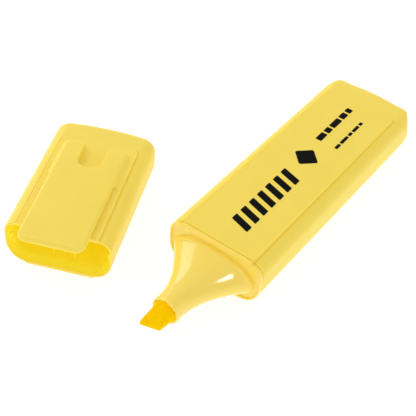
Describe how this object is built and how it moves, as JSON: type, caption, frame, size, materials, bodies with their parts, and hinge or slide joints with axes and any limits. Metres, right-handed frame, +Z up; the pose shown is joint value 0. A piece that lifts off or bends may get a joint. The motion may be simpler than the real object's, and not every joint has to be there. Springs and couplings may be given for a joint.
{
  "type": "highlighter",
  "caption": "Flat wide-bodied highlighter with a tapered nose and slanted chisel nib, and its loose sealing cap with a flexing pocket clip lying beside it.",
  "frame": {"origin": "middle of the body's flat resting face, level with the table", "axes": "+X along the barrel towards its closed rear end, the nib towards -X; +Z up through the printed side; +Y towards the side where the cap lies"},
  "size_m": [0.107, 0.0718, 0.0154],
  "materials": {
    "shell": "satin, slightly translucent",
    "nose": "polished, slightly translucent",
    "liner": "satin",
    "nib_felt": "bonded fibre soaked with ink",
    "fibre": "bonded fibre soaked with ink",
    "film": "thin film",
    "print_ink": "printed ink"
  },
  "bodies": {
    "marker": {"barrel_shell": "shell", "section": "nose", "nib": "nib_felt", "ink_reservoir": "fibre", "reservoir_film": "film", "print_marks": "print_ink"},
    "cap": {"cap_shell": "shell", "inner_cap": "liner"},
    "clip": {"clip": "shell"}
  },
  "joints": [
    {"name": "cap_turn", "type": "hinge", "parent": "marker", "child": "cap", "pos_m": [-0.05971, 0.015, 0.007], "axis": [0, 0, 1], "range_deg": [0, 157.2]},
    {"name": "clip_flex", "type": "hinge", "parent": "cap", "child": "clip", "pos_m": [-0.04397, 0.03788, 0.0154], "axis": [-0.3875, 0.9219, 0], "range_deg": [0, 6], "stiffness_Nm_per_rad": 0.6}
  ]
}
